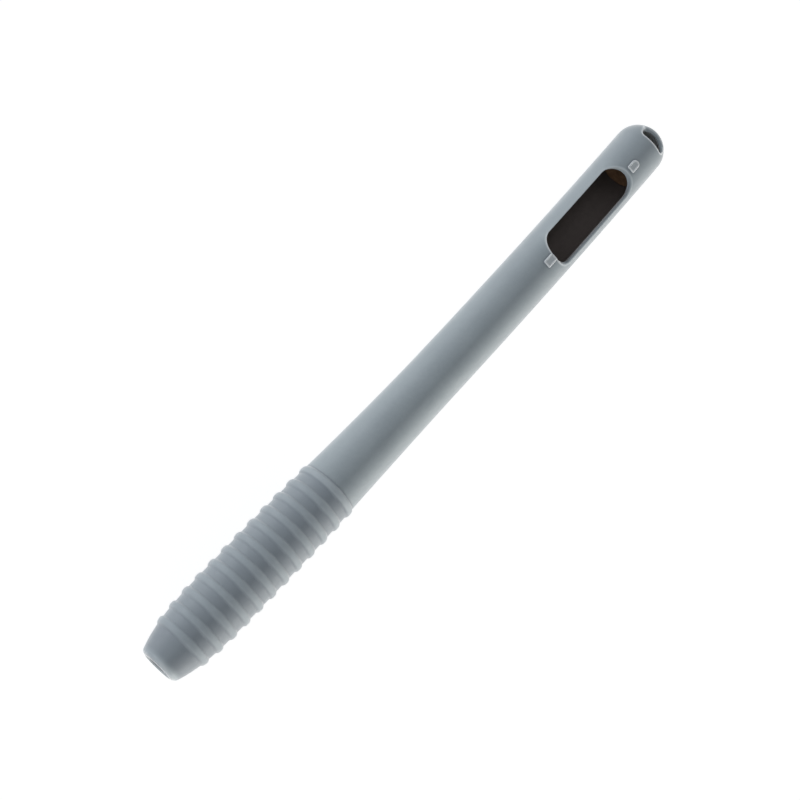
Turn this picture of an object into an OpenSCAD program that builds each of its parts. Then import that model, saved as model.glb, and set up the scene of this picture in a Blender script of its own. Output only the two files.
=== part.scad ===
// Stylus sleeve: a soft ribbed grip and a soft smooth barrel, both slipped over a dark
// liner tube that holds the stylus, with a brown stop glued into the liner's rear end.
// X runs along the axis from the tip to the rear, and +Z leaves through the window.
// The origin is the mouth of the stylus bore, on the axis at the liner's front end.

/* [Sleeve] */
// Length from the tip to the top of the dome
sleeve_length = 152; // [135:0.5:180]
// Outer diameter of the straight barrel
barrel_d = 11; // [10.2:0.1:12.4]
// Thickness of the soft wall over the liner
sleeve_wall = 1; // [0.7:0.05:1.1]
// Radial gap between the liner and the soft pieces
slip_gap = 0.05; // [0.03:0.01:0.1]

/* [Liner] */
// Thickness of the liner's wall
liner_wall = 0.6; // [0.4:0.05:0.8]
// Distance from the tip to the liner's front end
liner_setback = 8; // [6:0.5:12]
// Distance from the window's rear end to the liner's rear end
liner_tail = 4.5; // [3:0.25:6]

/* [Stop] */
// Distance from the window's rear end to the face that the stylus meets
stop_inset = 1.4; // [0.5:0.1:2.5]
// Width of the ledge inside the liner that the stop seats on
stop_ledge = 0.25; // [0.2:0.05:0.35]
// Thickness of the stop's flange behind the liner
stop_flange = 1; // [0.6:0.1:2]
// Radius of the dished face that the stylus meets
stop_dish_r = 9; // [6:0.5:20]
// Radial gap that the glue fills round the stop
glue_gap = 0.02; // [0.01:0.01:0.05]

/* [Grip] */
// Distance from the tip to the line where grip and barrel meet
grip_length = 47.1; // [44:0.05:60]
// How far the grip swells past the radius where it meets the barrel
grip_swell = 0.25; // [0.1:0.05:0.8]
// Distance from the tip to the widest place
grip_widest = 28; // [22:1:34]
// How far the radius draws in from there to the end of the nose
nose_draw = 0.8; // [0.4:0.05:1.1]
// Distance from the tip to the end of the nose
nose_length = 5.4; // [5:0.1:6]
// Diameter of the mouth that the stylus point leaves through
mouth_d = 5.7; // [5:0.1:6.2]
// Length of the rounded edge at the tip
tip_round = 1; // [0.6:0.1:1.4]
// Width of the lip round the mouth
lip_width = 0.2; // [0.1:0.05:0.4]

/* [Ribs] */
// Number of ribs round the grip
rib_count = 12; // [4:1:14]
// Distance from the tip to the middle of the first rib
first_rib = 6.55; // [6.4:0.05:7]
// Distance from the middle of the last rib to the grip's rear end
last_rib = 1.2; // [1.2:0.05:6]
// Height of a rib above the grip
rib_height = 0.44; // [0.2:0.02:0.7]
// Width of a rib at its foot
rib_base = 1.85; // [1.2:0.05:2.2]

/* [Grip joint] */
// Length of the barrel's thin end that slips into the grip
lap_length = 4; // [2:0.5:8]
// Wall of that thin end
lap_wall = 0.65; // [0.4:0.05:0.8]
// Gap between the end faces of grip and barrel
parting_gap = 0.05; // [0.03:0.01:0.2]
// Width of the broken edges on both sides of that gap
edge_break = 0.18; // [0.1:0.02:0.3]

/* [Barrel] */
// How much the radius grows from the straight barrel to the grip
flare_rise = 0.55; // [0.5:0.05:1]
// Length over which the barrel narrows behind the grip
flare_length = 26.65; // [12:0.05:40]

/* [Window] */
// Distance from the window's rear end to the top of the dome
window_to_end = 13.9; // [13.5:0.1:30]
// Length of the window
window_length = 24.8; // [14:0.1:40]
// Width of the window
window_width = 7.6; // [6.8:0.1:7.8]
// Corner radius at the window's front end
window_front_corner = 3.2; // [1:0.1:3.3]
// Corner radius at the window's rear end
window_rear_corner = 3.2; // [1:0.1:3.3]
// How far the liner's own window stands back behind the soft edge
window_margin = 0.1; // [0.05:0.05:0.3]

/* [Tabs] */
// Length of a raised tab at the end of the window
tab_length = 2.7; // [1.5:0.1:3.5]
// Width of a tab
tab_width = 1.8; // [1.2:0.1:2.6]
// Height of a tab's rim above the barrel
tab_height = 0.3; // [0.15:0.05:0.5]
// Width of that rim
tab_rim = 0.42; // [0.25:0.01:0.55]
// Height of the floor inside the rim above the barrel
tab_floor = 0.1; // [0.05:0.01:0.14]
// Bare strip between the window and the front tab
front_tab_gap = 0.1; // [0.1:0.05:1]
// Bare strip between the window and the rear tab
rear_tab_gap = 0.8; // [0.5:0.1:2]

/* [Rear opening] */
// Width of the opening in the dome
notch_width = 6.2; // [5:0.1:7]
// Distance from the top of the dome to the opening's front edge
notch_depth = 4.6; // [4:0.1:5.2]
// Corner radius at the opening's front edge
notch_corner = 1; // [0.5:0.1:2]
// Height above the axis of the hood that is left behind the opening
hood_rise = 3; // [2:0.1:3.4]

/* [Hidden] */
$fn = 96;

// How sharply the grip draws in towards the nose and towards the barrel
nose_power = 5;
rear_power = 2;
// How square a rib is, and where its outline is drawn, from its middle to its foot
rib_power = 3;
rib_stations = [0.25, 0.55, 0.8, 1];
// How sharply the flare draws in behind the grip
flare_power = 1.6;
// Steps along a smooth stretch, and the sweep of the rounded edge at the tip
curve_steps = 12;
tip_sweep = 70;
// Straight stretch inside the mouth, and extra room round the stylus in the nose
mouth_land = 0.6;
nose_room = 0.15;
// Room in front of the barrel's thin end
lap_end_room = 0.3;
// How far a cutter runs past the surface that it cuts, and a tab reaches below it
cut_over = 1;
tab_root = 0.3;

barrel_r = barrel_d / 2;
sleeve_bore_r = barrel_r - sleeve_wall;
liner_r = sleeve_bore_r - slip_gap;
bore_r = liner_r - liner_wall;
seat_r = bore_r + stop_ledge;
lap_r = sleeve_bore_r + lap_wall;
flare_r = barrel_r + flare_rise;
widest_r = flare_r + grip_swell;
rib_pitch = (grip_length - last_rib - first_rib) / (rib_count - 1);
front_r = mouth_d / 2 + lip_width;
barrel_front = grip_length + parting_gap;
lap_front = barrel_front - lap_length;
dome_middle = sleeve_length - barrel_r;
window_end = sleeve_length - window_to_end;
window_start = window_end - window_length;
liner_end = window_end + liner_tail;
stop_face = window_end + stop_inset;

// Radius of the grip between its ribs, at a distance along the sleeve from the tip
function grip_r(along) = along < grip_widest
    ? widest_r - nose_draw * pow((grip_widest - along) / (grip_widest - nose_length), nose_power)
    : widest_r - grip_swell * pow((along - grip_widest) / (grip_length - grip_widest), rear_power);

// Height of a rib at a share of the way from its middle to its foot
function rib_lift(share) = rib_height * (1 - pow(share, rib_power));

// Points are [radius, distance along the sleeve from the tip].
function rib_point(middle, side, share) =
    let (along = middle + side * share * rib_base / 2)
    [grip_r(along) + rib_lift(share), along];

function rib_points(middle) = concat(
    [for (i = [len(rib_stations) - 1 : -1 : 0]) rib_point(middle, -1, rib_stations[i])],
    [for (share = rib_stations) rib_point(middle, 1, share)]);

// The rounded edge from the mouth's lip to the nose
function tip_points() = [for (i = [0 : curve_steps])
    let (turn = tip_sweep * i / curve_steps)
    [front_r + (grip_r(tip_round) - front_r) * sin(turn) / sin(tip_sweep),
     tip_round * (1 - cos(turn)) / (1 - cos(tip_sweep))]];

function nose_points() = let (end = first_rib - rib_base / 2)
    [for (i = [1 : 3]) let (along = tip_round + (end - tip_round) * i / 4) [grip_r(along), along]];

// The smooth stretch between the last rib and the barrel
function tail_points() = [
    [grip_r(grip_length - edge_break), grip_length - edge_break],
    [flare_r - edge_break, grip_length]];

// The bore, from the lap joint forward to the mouth
function grip_bore_points() = [
    [lap_r + slip_gap, grip_length],
    [lap_r + slip_gap, lap_front - lap_end_room],
    [sleeve_bore_r, lap_front - lap_end_room],
    [sleeve_bore_r, liner_setback],
    [bore_r + nose_room, liner_setback],
    [mouth_d / 2, mouth_land + lip_width],
    [mouth_d / 2, lip_width]];

function flare_points() = [for (i = [0 : curve_steps])
    let (share = i / curve_steps)
    [barrel_r + (flare_r - barrel_r) * pow(1 - share, flare_power),
     barrel_front + edge_break + (flare_length - edge_break) * share]];

// Turns an outline in [radius, along] about the sleeve's axis
module turned() {
    translate([-liner_setback, 0, 0])
        rotate([0, 90, 0])
            rotate_extrude()
                children();
}

// A tube between two places along the sleeve
module tube(inner_r, outer_r, from, to) {
    turned()
        translate([inner_r, from])
            square([outer_r - inner_r, to - from]);
}

// Pushes a plan outline, drawn in distances from the tip, up along +Z from a height
module upright(from, height) {
    translate([-liner_setback, 0, from])
        linear_extrude(height)
            children();
}

// Plan of a slot with its own corner radius at each end
module slot_plan(start, end, width, start_corner, end_corner) {
    for (side = [-1, 1]) {
        translate([start + start_corner, side * (width / 2 - start_corner)])
            circle(start_corner);
        translate([end - end_corner, side * (width / 2 - end_corner)])
            circle(end_corner);
    }
    translate([start, start_corner - width / 2])
        square([end - end_corner - start, width - 2 * start_corner]);
    translate([start + start_corner, -width / 2])
        square([end - end_corner - start - start_corner, width]);
    translate([end - 2 * end_corner, end_corner - width / 2])
        square([2 * end_corner, width - 2 * end_corner]);
}

module window_plan(margin) {
    slot_plan(window_start - margin, window_end + margin, window_width + 2 * margin,
        window_front_corner + margin, window_rear_corner + margin);
}

// Plan of a tab: square towards the tip, and square or round towards the rear
module tab_plan(start, shrink, round_rear) {
    half = tab_width / 2 - shrink;
    end = start + tab_length - shrink;
    straight_end = round_rear ? end - half : end;
    translate([start + shrink, -half])
        square([straight_end - start - shrink, 2 * half]);
    if (round_rear)
        translate([straight_end, 0])
            circle(half);
}

// A raised tab that follows the barrel's curve: a floor and a higher rim round it
module tab(start, round_rear) {
    intersection() {
        upright(0, barrel_d)
            tab_plan(start, 0, round_rear);
        tube(barrel_r - tab_root, barrel_r + tab_floor, start - cut_over, start + tab_length + cut_over);
    }
    intersection() {
        upright(0, barrel_d)
            difference() {
                tab_plan(start, 0, round_rear);
                tab_plan(start, tab_rim, round_rear);
            }
        tube(barrel_r - tab_root, barrel_r + tab_height, start - cut_over, start + tab_length + cut_over);
    }
}

// Outline of the barrel's wall, from its thin front end over the flare to the dome
module barrel_outline() {
    difference() {
        union() {
            translate([0, lap_front])
                square([lap_r, barrel_front - lap_front + cut_over]);
            polygon(concat([[0, barrel_front], [flare_r - edge_break, barrel_front]], flare_points(),
                [[0, barrel_front + flare_length]]));
            translate([0, barrel_front + flare_length])
                square([barrel_r, dome_middle - barrel_front - flare_length]);
            intersection() {
                translate([0, dome_middle])
                    circle(barrel_r);
                translate([0, dome_middle])
                    square([barrel_r, barrel_r]);
            }
        }
        translate([0, lap_front - cut_over])
            square([sleeve_bore_r, dome_middle - lap_front + cut_over]);
        translate([0, dome_middle])
            circle(sleeve_bore_r);
    }
}

// The opening in the dome: straight down from the window side to the hood
module notch_cutter() {
    upright(hood_rise, barrel_d)
        slot_plan(sleeve_length - notch_depth, sleeve_length + barrel_r, notch_width, notch_corner, notch_corner);
}

// Dark rigid tube that holds the stylus, open at the front and under the window
module inner_liner() {
    color("#1c1917")
        difference() {
            tube(0, liner_r, liner_setback, liner_end);
            tube(0, bore_r, liner_setback - cut_over, stop_face + cut_over);
            tube(0, seat_r, stop_face, liner_end + cut_over);
            upright(0, barrel_d)
                window_plan(window_margin);
        }
}

// Brown plug that closes the liner's rear end, with a dished face for the stylus
module rear_stop() {
    color("#4a3423")
        difference() {
            union() {
                tube(0, seat_r - glue_gap, stop_face, liner_end + stop_flange);
                tube(0, liner_r, liner_end, liner_end + stop_flange);
            }
            translate([stop_face - liner_setback - sqrt(stop_dish_r * stop_dish_r - bore_r * bore_r), 0, 0])
                sphere(stop_dish_r);
        }
}

// Soft grip with its nose, its ring of ribs and the socket for the barrel
module grip_sleeve() {
    color("#6f7782")
        turned()
            polygon(concat(
                tip_points(),
                nose_points(),
                [for (i = [0 : rib_count - 1]) each rib_points(first_rib + i * rib_pitch)],
                tail_points(),
                grip_bore_points()));
}

// Soft barrel with its flare, window, tabs, dome and rear opening
module barrel_sleeve() {
    color("#7c858f")
        difference() {
            union() {
                turned()
                    barrel_outline();
                tab(window_start - front_tab_gap - tab_length, false);
                tab(window_end + rear_tab_gap, true);
            }
            upright(0, barrel_d)
                window_plan(0);
            notch_cutter();
        }
}

inner_liner();
rear_stop();
grip_sleeve();
barrel_sleeve();
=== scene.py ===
"""Looks of the stylus sleeve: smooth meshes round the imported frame, on a white table in soft light.

Lengths are in metres. "Along" is the distance from the tip, and an angle round the sleeve is counted from
+Z, where the window is, towards +Y. Each mesh is made straight and then bowed, as the soft sleeve lies in
the photo.
"""

import math

import bmesh
import bpy
import numpy as np
from mathutils import Matrix, Vector


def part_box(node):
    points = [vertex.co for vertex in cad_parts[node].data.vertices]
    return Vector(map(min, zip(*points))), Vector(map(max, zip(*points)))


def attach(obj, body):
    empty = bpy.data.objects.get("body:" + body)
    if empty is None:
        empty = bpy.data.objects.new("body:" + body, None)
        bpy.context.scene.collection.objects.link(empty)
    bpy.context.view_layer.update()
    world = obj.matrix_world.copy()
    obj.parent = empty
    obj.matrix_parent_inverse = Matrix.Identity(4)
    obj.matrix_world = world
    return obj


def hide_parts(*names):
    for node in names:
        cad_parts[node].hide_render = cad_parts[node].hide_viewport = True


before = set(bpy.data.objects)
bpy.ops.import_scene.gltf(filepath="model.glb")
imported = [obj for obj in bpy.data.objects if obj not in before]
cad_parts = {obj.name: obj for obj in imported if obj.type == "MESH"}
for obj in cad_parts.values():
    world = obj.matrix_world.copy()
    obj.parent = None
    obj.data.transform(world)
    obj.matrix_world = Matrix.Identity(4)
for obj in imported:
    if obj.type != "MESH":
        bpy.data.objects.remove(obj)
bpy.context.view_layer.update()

MM = 0.001

# Places along the sleeve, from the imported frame
GRIP_LOW, GRIP_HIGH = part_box("grip_sleeve")
BARREL_LOW, BARREL_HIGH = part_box("barrel_sleeve")
LINER_LOW, LINER_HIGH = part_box("inner_liner")
STOP_LOW, STOP_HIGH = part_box("rear_stop")
TIP_X = GRIP_LOW.x
GRIP_LENGTH = GRIP_HIGH.x - TIP_X
SLEEVE_LENGTH = BARREL_HIGH.x - TIP_X
LAP_FRONT = BARREL_LOW.x - TIP_X
LINER_FRONT = LINER_LOW.x - TIP_X
LINER_END = LINER_HIGH.x - TIP_X
LINER_R = LINER_HIGH.y
STOP_FACE = STOP_LOW.x - TIP_X
STOP_END = STOP_HIGH.x - TIP_X
FLARE_R = BARREL_HIGH.y + 0.04 * MM

# Bow of the sleeve: straight over the grip, bent behind it
BOW_START = 50 * MM
BOW_AT_TIP = 0.4 * MM
BOW_SLOPE = -0.0139
BOW_BEND = 0.252

# Soft wall
BARREL_R = 5.5 * MM
BORE_R = 4.5 * MM
LAP_R = 5.15 * MM
LAP_LENGTH = 4 * MM
LAP_GAP = 0.05 * MM
LAP_END_ROOM = 0.3 * MM
PARTING_GAP = 0.015 * MM
FLARE_LENGTH = 32 * MM
FLARE_POWER = 1.6
EDGE_ROUND = 0.03 * MM
INNER_ROUND = 0.1 * MM

# Grip
WIDEST = 28 * MM
WIDEST_R = FLARE_R + 0.27 * MM
NOSE_LENGTH = 5.4 * MM
NOSE_DRAW = 0.8 * MM
NOSE_POWER = 5
TIP_ROUND = 0.75 * MM
TIP_SWEEP = math.radians(75)
# Length from the tip over which its painted light fades into the ribs
TIP_LIT_LENGTH = 1.85 * MM
# Angle round the sleeve of the lit side of the nose and tip, where their painted shade is least
NOSE_LIGHT_ANGLE = math.radians(15)
MOUTH_R = 2.85 * MM
LIP = 0.2 * MM
MOUTH_LAND = 0.6 * MM
NOSE_BORE_R = 4 * MM
RIB_COUNT = 12
FIRST_RIB = 6.55 * MM
LAST_RIB = GRIP_LENGTH - 1.2 * MM
RIB_HEIGHT = 0.4 * MM
RIB_HALF = 0.925 * MM
RIB_POWER = 3
RIB_CREEP = 1 * MM
RIB_SOFTNESS = 0.05 * MM
GRIP_STEP = 0.02 * MM
GRIP_KEEP = 6

# Liner and stop
LINER_BORE_R = 3.85 * MM
SEAT_R = 4.1 * MM
STOP_R = 4.08 * MM
STOP_FLANGE = 0.3 * MM
STOP_BUTTON_R = 3.5 * MM
DISH_R = 9 * MM
LINER_EDGE = 0.08 * MM

# Window
WINDOW_END = SLEEVE_LENGTH - 13.9 * MM
WINDOW_START = WINDOW_END - 25 * MM
WINDOW_WIDTH = 7.6 * MM
WINDOW_FRONT_CORNERS = (3.5 * MM, 2.5 * MM)
WINDOW_REAR_CORNER = 3.7 * MM
WINDOW_RIM = 0.18 * MM
WINDOW_INNER_RIM = 0.12 * MM
WINDOW_DRAFT = 0.35 * MM
WINDOW_LEAN = 0.35 * MM
WINDOW_ROLL = 0.7 * MM
PATCH_MARGIN = 4.5 * MM
LINER_MARGIN = 0.1 * MM
LINER_DRAFT = 0.16 * MM
LINER_PATCH_MARGIN = 1.1 * MM

# Tabs at the ends of the window
TAB_LENGTH = 2.7 * MM
TAB_WIDTH = 1.8 * MM
TAB_CORNER = 0.3 * MM
REAR_TAB_CORNER = TAB_WIDTH / 2 - 0.01 * MM
LEAST_TAB_CORNER = 0.02 * MM
FRONT_TAB_START = WINDOW_START - 0.1 * MM - TAB_LENGTH
REAR_TAB_START = WINDOW_END + 0.8 * MM
TAB_HEIGHT = 0.3 * MM
TAB_FLOOR = 0.1 * MM
TAB_ROOT = -0.3 * MM
TAB_RIM = 0.46 * MM
TAB_SKIRT = 0.4 * MM

# Dome and its opening, from the middle of the dome
DOME_MIDDLE = SLEEVE_LENGTH - BARREL_R
DOME_REACH = 0.98
NOTCH_FRONT = SLEEVE_LENGTH - 4.62 * MM - DOME_MIDDLE
NOTCH_HALF = 3.1 * MM
NOTCH_CORNER = 0.8 * MM
HOOD_RISE = 3 * MM
NOTCH_TILT = math.radians(58)
NOTCH_SOFTNESS = math.radians(2.5)
NOTCH_RIM = 0.3 * MM
NOTCH_INNER_RIM = 0.6 * MM
PALE_BAND = 0.3 * MM

# Mesh density
COLUMNS = 96
TIP_POINTS = 14
DISH_POINTS = 16
FLARE_POINTS = 40
LINER_POINTS = 40
BARREL_POINTS = 26
BORE_POINTS = 50
NOTCH_POINTS = 360
NOTCH_HALVINGS = 40
WINDOW_REAR_STEPS = 3
WINDOW_FRONT_STEPS = 6
TAB_COUNTS = (2, 6, 8, 6, 2)
PATCH_COLUMNS = 24
PATCH_ROWS = 44
PATCH_LAYERS = 8
PATCH_CROWDING = 1.3
RIM_STEPS = 6
WALL_STEPS = 3
SPOKE_STEPS = 14
CORNER_STEPS = 4
CORNER_SHARE = 0.45
WELD = 0.002 * MM
SHARP = math.radians(50)

# Camera, fitted to the ribs and the outline in the photo
FOCAL_SHARE = 1554.2 / 800
SENSOR = 36
VIEW_DISTANCE = 307.8 * MM
VIEW_TILT = math.radians(17.33)
VIEW_AIM = 69.8 * MM
VIEW_ROLL = math.radians(14.8)
VIEW_SIDE = -1.38 * MM
IMAGE_TURN = math.radians(46.92)
VIEW_CLIP = (0.01, 20)

# Table, room and lamps
TABLE_HALF = 2
TABLE_LIT = 0.85
TABLE_LIT_GLOW = 0.62
TABLE_SEEN = 0.3
TABLE_SEEN_GLOW = 0.86
ROOM_STRENGTH = 0.48
ROOM_COLOUR = (0.95, 0.98, 1, 1)
LAMP_AHEAD = -0.08
LAMP_ASIDE = 0.7
LAMP_HEIGHT = 0.045
LAMP_SIZE = (1.0, 0.08)
LEFT_POWER = 3.4
LEFT_COLOUR = (0.97, 0.985, 1)
RIGHT_POWER = 5.0
RIGHT_COLOUR = (1, 0.965, 0.89)

# Wear and painted light of the silicone: 0 is plain, 1 paler with rubbing and painted light, 2 a painted
# edge highlight, -1 the painted shade of a groove and -2 the deepest painted shade
DARKEST_GRIP = -1
# Painted shade in the grooves, lighter towards +Y; crests paler, partly rubbed and partly a painted
# highlight, less so at the sides
GROOVE_SHADE = -0.85
GROOVE_ASIDE_LIGHT = 0.25
CREST_WEAR_AND_LIGHT = 0.38
CREST_ASIDE_SHADE = 0.6
CREST_FROM = 0.45
CREST_BLEND = 0.4
LAST_CREST_WEAR_AND_LIGHT = 0.35
# Painted shade on the nose, darker away from its lit side
NOSE_SHADE = -0.5
NOSE_OFF_LIGHT_SHADE = 0.8
NOSE_FADE = 1.5
# Painted shade on the lip and a painted highlight on the tip's rounding, darker towards +Y and away from
# the lit side
TIP_PLACES = (0, 0.12, 0.28, 0.5, 1)
TIP_LIGHT_AND_SHADE = (-0.6, -0.5, 0.75, 1.4, 1.35)
TIP_ASIDE_SHADE = 0.7
TIP_ASIDE_SHADE_LIMITS = (-0.2, 1)
TIP_OFF_LIGHT_SHADE = 0.65
TIP_OFF_LIGHT_PLACES = (0.28, 0.6)
# Painted light inside the mouth
MOUTH_INSIDE_LIGHT = 1.6
# Painted shade, darker towards the rear
REAR_SHADE = -0.35
REAR_SHADE_START = 80 * MM
REAR_SHADE_LENGTH = 70 * MM
# Painted highlights on the window's rim, strongest in front; painted light beside its +Y side and painted
# shade beside its -Y side
WINDOW_RIM_HIGHLIGHT = 0.2
WINDOW_FRONT_HIGHLIGHT = 1.8
WINDOW_FRONT_REACH = 1.6 * WINDOW_FRONT_CORNERS[0]
WINDOW_REAR_HIGHLIGHT = 0.7
WINDOW_RIM_FADE = 1.5
LEFT_PAINTED_LIGHT = 0.42
LEFT_EDGE_SHARE = 0.4
RIGHT_PAINTED_SHADE = 0.3
SIDE_LIGHT_REACH = 0.5
# Where the window's edge is rolled: a painted highlight at its top, painted shade below and the deepest on
# the cut
ROLL_RIM_SHADE = 0.9
ROLL_HIGHLIGHT = 0.55
ROLL_SHADE = 2.6
ROLL_SHADE_POWER = 2.3
CUT_SHADE = -1.6
# Painted highlight on the opening's rim; its cut wall painted pale at the top and dark lower down; painted
# light inside the dome
NOTCH_RIM_HIGHLIGHT = 1.6
NOTCH_FRONT_HIGHLIGHT = 0.4
NOTCH_FRONT_REACH = 0.3
NOTCH_ASIDE_SHADE = 0.1
NOTCH_RIM_HOLD = 1.6
NOTCH_RIM_FADE = 0.8
NOTCH_WALL_LIGHT_AND_SHADE = (1.6, -0.6)
DOME_INSIDE_LIGHT = 2
# Tabs paler, with a painted highlight on their rims, stronger towards -Y, and painted shade on the skirt
# round them
TAB_PALENESS = 1.4
TAB_RIM_HIGHLIGHT = 0.4
TAB_SKIRT_SHADE = -0.9

# Painted light on the liner: highlights on its edges, and a paler bore, most towards -Y
LINER_EDGE_HIGHLIGHT = 0.5
LINER_BORE_LIGHT = 0.1

# Colours
WHITE = (1, 1, 1, 1)
# Whitish colour of painted highlights on edges, also of dust specks
PALE_HIGHLIGHT_AND_DUST = (0.62, 0.64, 0.66)
# Paler grey of rubbed places and of painted light, also of random mottling
RUBBED_AND_LIT = (0.385, 0.43, 0.46)
# Painted shade, as dark as in the grooves
PAINTED_SHADE = (0.182, 0.21, 0.24)
# Deepest painted shade, on the window's rolled cut
DEEP_PAINTED_SHADE = (0.11, 0.112, 0.112)
# The grip's colours, a little darker than the barrel's: painted shade on the ribbed grip, as both are one
# silicone
GRIP_SHADED_COLOURS = ((0.25, 0.288, 0.318), (0.235, 0.272, 0.302))
BARREL_COLOURS = ((0.262, 0.302, 0.329), (0.245, 0.284, 0.311))
LINER_COLOURS = ((0.046, 0.038, 0.034), (0.062, 0.051, 0.046))
# Painted light on the liner's edges and in its bore
LINER_PAINTED_LIGHT = (0.6, 0.51, 0.5)
STOP_COLOURS = ((0.19, 0.1, 0.052), (0.28, 0.16, 0.088))

# Materials: noise in waves per metre, ranges of noise and of roughness, and bumps as (strength, height)
FINE_DETAIL = 4
MIDDLE_RANGE = (0.3, 0.7)
CLOUD_SCALE = 160
CLOUD_DETAIL = 3
CLOUD_RANGE = (0.35, 0.65)
MOTTLE_SCALE = 1400
MOTTLE_RANGE = (0.35, 0.7)
MOTTLE_SHARE = 0.1
MOTTLE_BUMP = (0.08, 0.04 * MM)
GRAIN_SCALE = 9000
GRAIN_BUMP = (0.15, 0.015 * MM)
DUST_SCALE = 5200
DUST_RANGE = (0.74, 0.8)
DUST_SHARE = 0.2
LEAST_LIGHTENING = 0.8
LIGHTENING_POLISH = 0.08
SILICONE_ROUGHNESS = (0.5, 0.62)
SILICONE_SPECULAR = 0.4
SHEEN_ROUGHNESS = 0.4
SUBSURFACE_SHARE = 0.2
SUBSURFACE_DEPTH = 0.6 * MM
LINER_MOTTLE_SCALE = 900
LINER_LINE_SCALE = 1800
LINER_LINE_STRETCH = (0.04, 1, 1)
LINER_LINE_BUMP = (0.2, 0.03 * MM)
LINER_GRAIN_SCALE = 7000
LINER_GRAIN_BUMP = (0.1, 0.02 * MM)
LINER_ROUGHNESS = (0.55, 0.7)
LINER_SPECULAR = 0.2
STOP_MOTTLE_SCALE = 1500
STOP_GRAIN_SCALE = 6000
STOP_GRAIN_DETAIL = 3
STOP_GRAIN_BUMP = (0.3, 0.04 * MM)
STOP_ROUGHNESS = (0.6, 0.75)
STOP_SPECULAR = 0.3


def on_sleeve(along, radius, angle):
    """Points of the row frame at a distance from the tip, a radius and an angle round the sleeve."""
    along, radius, angle = np.broadcast_arrays(along, radius, angle)
    return np.stack([along + TIP_X, radius * np.sin(angle), radius * np.cos(angle)], axis=-1)


def bowed(points):
    """Points of the row frame moved sideways to the bow, with each cross-section turned to follow it."""
    points = np.asarray(points, float)
    along = points[:, 0] - TIP_X
    bent = np.clip(along - BOW_START, 0, None)
    aside = BOW_AT_TIP + BOW_SLOPE * along + BOW_BEND * bent**2
    turn = BOW_SLOPE + 2 * BOW_BEND * bent
    return np.stack([points[:, 0] - turn * points[:, 1], points[:, 1] + aside, points[:, 2]], axis=1)


def softened(points, radius):
    """An open outline with each inner corner rounded off, as an array of [along, radius]."""
    points = [np.array(p, float) for p in points]
    out = [points[0]]
    for before, corner, after in zip(points, points[1:], points[2:]):
        back, ahead = before - corner, after - corner
        reach_back = min(radius, np.linalg.norm(back) * CORNER_SHARE)
        reach_ahead = min(radius, np.linalg.norm(ahead) * CORNER_SHARE)
        start = corner + back / np.linalg.norm(back) * reach_back
        end = corner + ahead / np.linalg.norm(ahead) * reach_ahead
        for t in np.linspace(0, 1, CORNER_STEPS + 1):
            out.append((1 - t) ** 2 * start + 2 * t * (1 - t) * corner + t * t * end)
    out.append(points[-1])
    return np.array(out)


def straight_run(start, end, radius, count):
    """Points of an outline at one radius, as an array of [along, radius]."""
    return np.stack([np.linspace(start, end, count), np.full(count, radius)], axis=1)


class Skin:
    """A mesh in the making: grids of points, each with a value of wear and painted light, welded where they
    meet.
    """

    def __init__(self):
        self.points = []
        self.wear_and_light = []
        self.faces = []

    def grid(self, rows, wear_and_light=0.0, closed=False, skip=None):
        """Faces between rows of points of one length; closed joins the ends of each row."""
        rows = np.asarray(rows, float)
        count, width = rows.shape[:2]
        first = len(self.points)
        self.points.extend(rows.reshape(-1, 3).tolist())
        wear_and_light = np.asarray(wear_and_light, float)
        if wear_and_light.ndim == 1:
            wear_and_light = wear_and_light[:, None]
        self.wear_and_light.extend(np.broadcast_to(wear_and_light, (count, width)).ravel().tolist())
        for i in range(count - 1):
            for j in range(width if closed else width - 1):
                if skip is not None and skip(i, j):
                    continue
                near = first + i * width
                far = near + width
                after = (j + 1) % width
                self.faces.append((near + j, near + after, far + after, far + j))

    def cap(self, loop, wear_and_light=0.0):
        """One face that closes a loop of points."""
        first = len(self.points)
        self.points.extend(np.asarray(loop, float).tolist())
        self.wear_and_light.extend([wear_and_light] * len(loop))
        self.faces.append(tuple(range(first, first + len(loop))))

    def build(self, name, material):
        """The finished mesh object, bowed and smooth, with a float attribute of wear and painted light and
        shade.
        """
        mesh = bpy.data.meshes.new(name)
        mesh.from_pydata(bowed(self.points).tolist(), [], self.faces)
        attribute = mesh.attributes.new("wear_and_light", "FLOAT", "POINT")
        attribute.data.foreach_set("value", np.array(self.wear_and_light, np.float32))
        work = bmesh.new()
        work.from_mesh(mesh)
        loose = [v for v in work.verts if not v.link_faces]
        bmesh.ops.delete(work, geom=loose, context="VERTS")
        bmesh.ops.remove_doubles(work, verts=work.verts, dist=WELD)
        bmesh.ops.recalc_face_normals(work, faces=work.faces)
        work.to_mesh(mesh)
        work.free()
        mesh.polygons.foreach_set("use_smooth", [True] * len(mesh.polygons))
        mesh.set_sharp_from_angle(angle=SHARP)
        mesh.materials.append(material)
        obj = bpy.data.objects.new(name, mesh)
        bpy.context.scene.collection.objects.link(obj)
        return obj


COLUMN_ANGLES = 2 * math.pi * np.arange(COLUMNS) / COLUMNS


def revolved(profile):
    """Rows of points for an outline of [along, radius] turned round the axis."""
    profile = np.asarray(profile)
    return on_sleeve(profile[:, :1], profile[:, 1:2], COLUMN_ANGLES[None, :])


# Grip


def grip_r(along):
    """Radius of the grip between its ribs."""
    along = np.asarray(along, float)
    towards_nose = np.clip((WIDEST - along) / (WIDEST - NOSE_LENGTH), 0, None)
    towards_rear = np.clip((along - WIDEST) / (GRIP_LENGTH - WIDEST), 0, None)
    return WIDEST_R - NOSE_DRAW * towards_nose**NOSE_POWER - (WIDEST_R - FLARE_R) * towards_rear**2


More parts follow.
